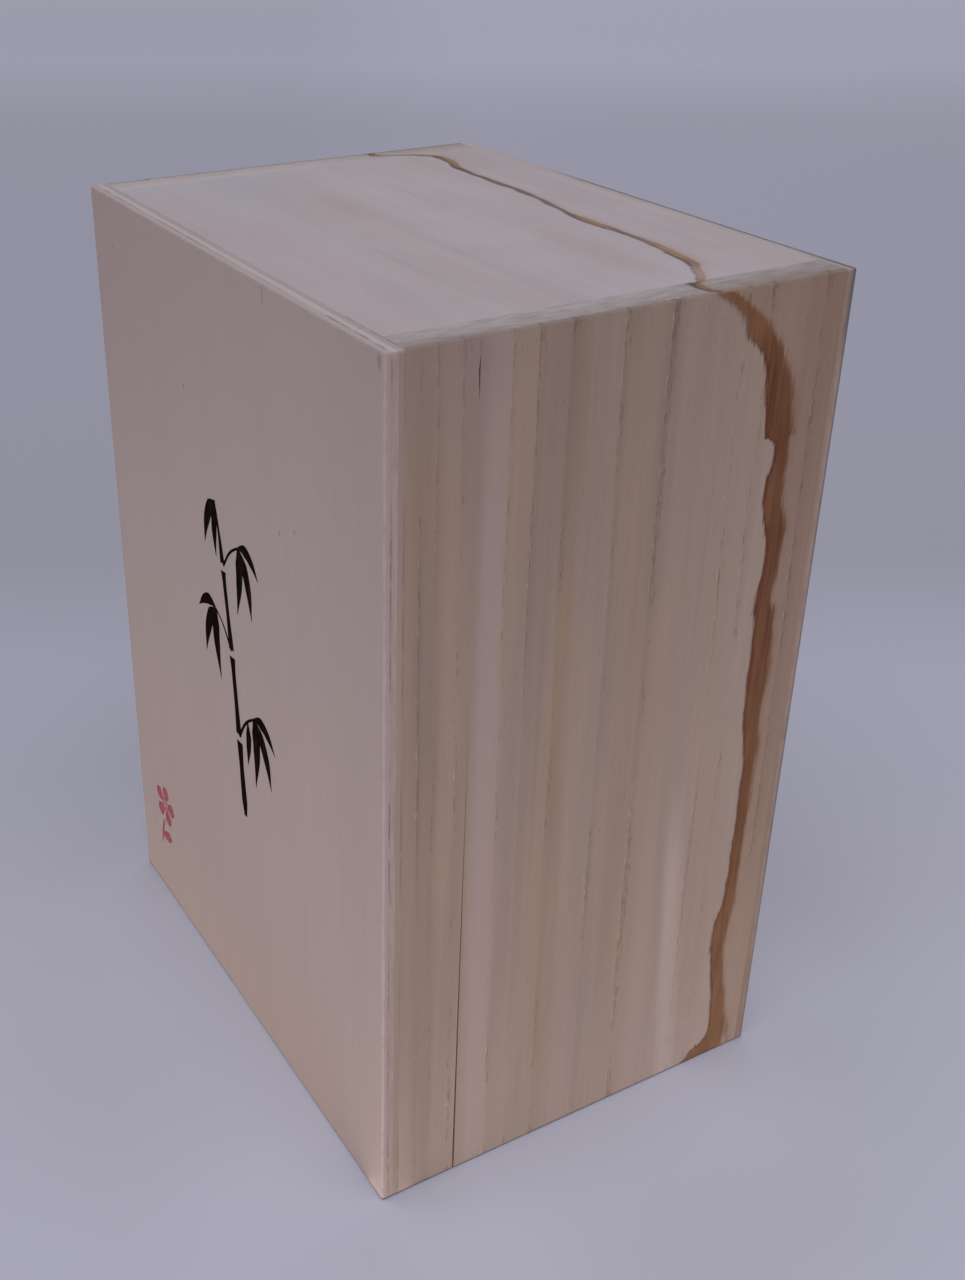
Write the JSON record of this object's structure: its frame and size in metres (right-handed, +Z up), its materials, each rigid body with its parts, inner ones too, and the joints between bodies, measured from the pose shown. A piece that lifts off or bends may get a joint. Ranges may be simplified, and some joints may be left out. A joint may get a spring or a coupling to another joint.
{
  "type": "presentation box",
  "caption": "Upright wooden presentation box with a flush lift-off lid that seats over an inner rim.",
  "frame": {"origin": "middle of the end face that the box stands on", "axes": "+Z up along the box's longest side, -Y out of the lid's face, +X to the right of someone who faces the lid"},
  "size_m": [0.1424, 0.106, 0.2],
  "materials": {
    "paulownia_board": "matte",
    "paulownia_rim": "matte",
    "ply_veneer": "matte",
    "ply_core": "matte"
  },
  "bodies": {
    "case": {"case_left_board": "paulownia_board", "case_right_board": "paulownia_board", "case_top_board": "paulownia_board", "case_bottom_board": "paulownia_board", "back_inner_ply": "ply_veneer", "back_core_ply": "ply_core", "back_outer_ply": "ply_veneer", "rim_left": "paulownia_rim", "rim_right": "paulownia_rim", "rim_top": "paulownia_rim", "rim_bottom": "paulownia_rim"},
    "lid": {"lid_face_ply": "ply_veneer", "lid_core_ply": "ply_core", "lid_inner_ply": "ply_veneer", "lid_left_board": "paulownia_board", "lid_right_board": "paulownia_board", "lid_top_board": "paulownia_board", "lid_bottom_board": "paulownia_board"}
  },
  "joints": [
    {"name": "lid_slide", "type": "slide", "parent": "case", "child": "lid", "axis": [0, -1, 0], "range_m": [0, 0.12]}
  ]
}
